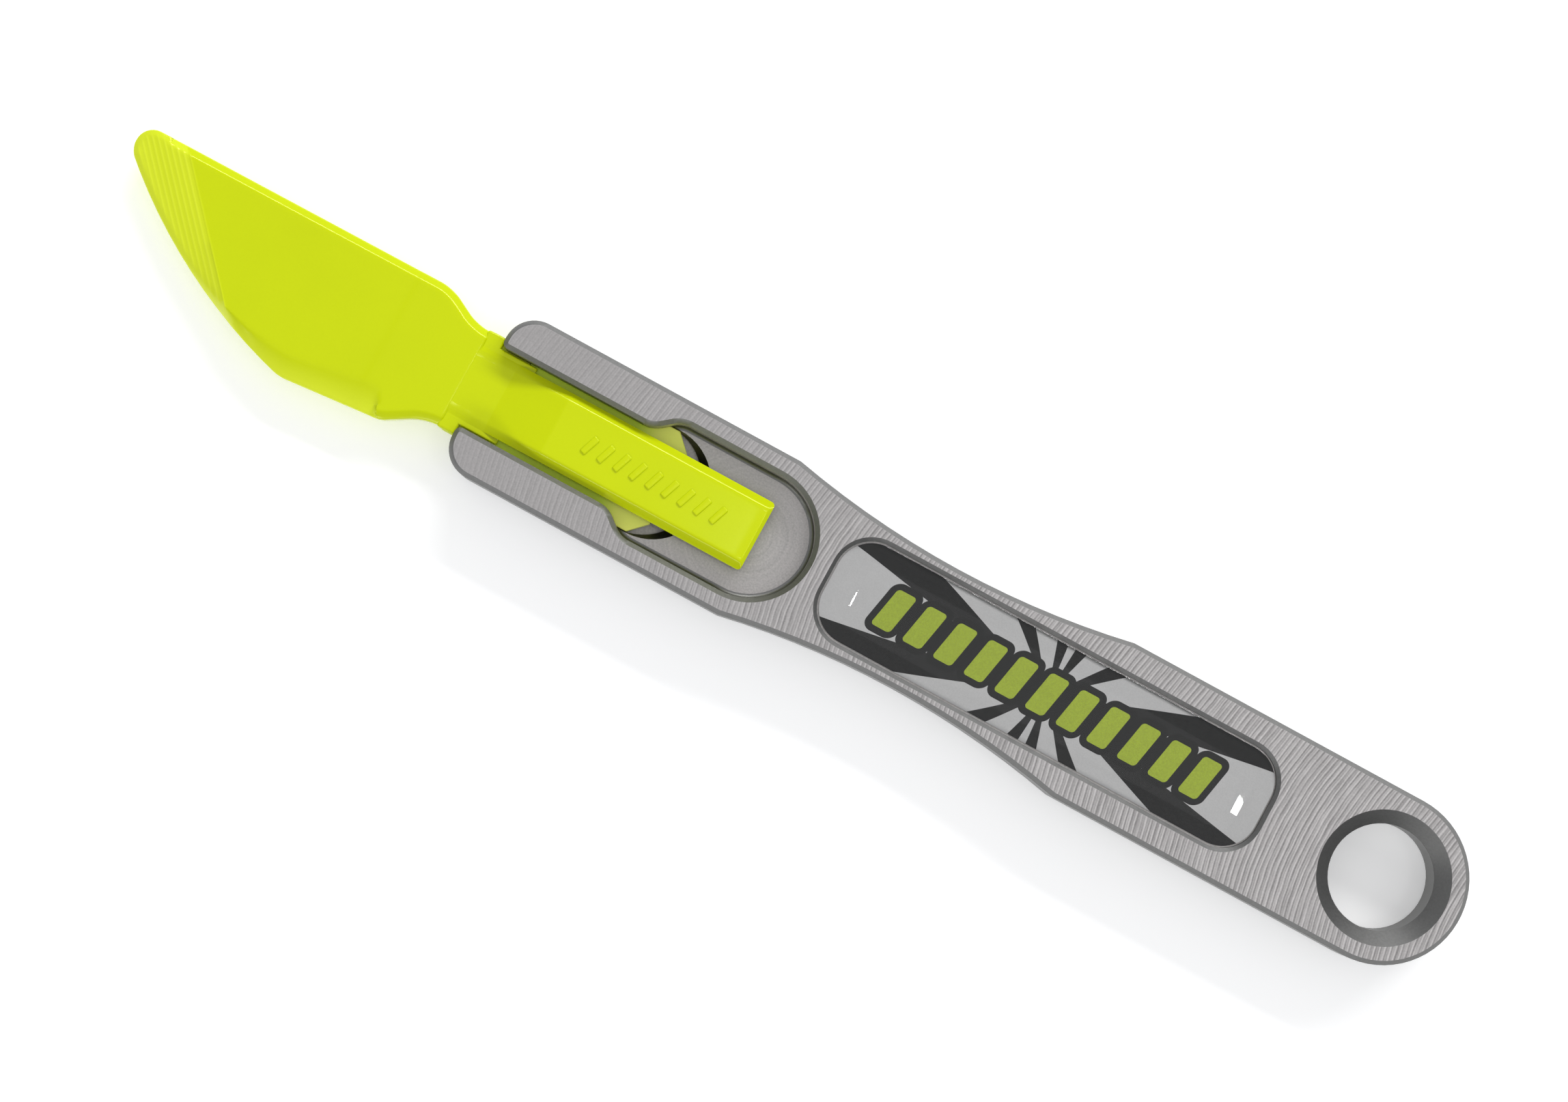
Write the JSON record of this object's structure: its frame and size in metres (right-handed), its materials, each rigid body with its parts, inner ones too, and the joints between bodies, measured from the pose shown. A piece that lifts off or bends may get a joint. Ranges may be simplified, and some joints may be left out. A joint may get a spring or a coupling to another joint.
{
  "type": "tucking knife",
  "caption": "Flat forked metal handle with a hanging hole and a domed label, holding an exchangeable moulded plastic tucking blade on a sprung slide-in tongue.",
  "frame": {"origin": "on the back face, at the middle of the whole tool's length and width", "axes": "+X towards the blade's tip, +Y towards the blade's belly, +Z out of the labelled face"},
  "size_m": [0.1944, 0.022, 0.0083],
  "materials": {
    "milled_aluminium": "face milled with fine cross feed marks, satin",
    "lime_plastic": "moulded, semi-gloss",
    "adhesive_foam": "thin double-sided adhesive",
    "printed_film": "printed film with a plain ray pattern",
    "clear_resin": "clear cast resin, high gloss"
  },
  "bodies": {
    "handle": {"handle": "milled_aluminium", "label_adhesive": "adhesive_foam", "label_film": "printed_film", "label_dome": "clear_resin"},
    "insert": {"blade_insert": "lime_plastic"},
    "arm_left": {"snap_arm_left": "lime_plastic"},
    "arm_right": {"snap_arm_right": "lime_plastic"}
  },
  "joints": [
    {"name": "insert_slide", "type": "slide", "parent": "handle", "child": "insert", "axis": [1, 0, 0], "range_m": [0, 0.042]},
    {"name": "arm_left_flex", "type": "hinge", "parent": "insert", "child": "arm_left", "pos_m": [0.0384, 0.00595, 0.003], "axis": [0, 0, 1], "range_deg": [0, 2.5], "stiffness_Nm_per_rad": 0.5},
    {"name": "arm_right_flex", "type": "hinge", "parent": "insert", "child": "arm_right", "pos_m": [0.0384, -0.00595, 0.003], "axis": [0, 0, -1], "range_deg": [0, 2.5], "stiffness_Nm_per_rad": 0.5}
  ]
}
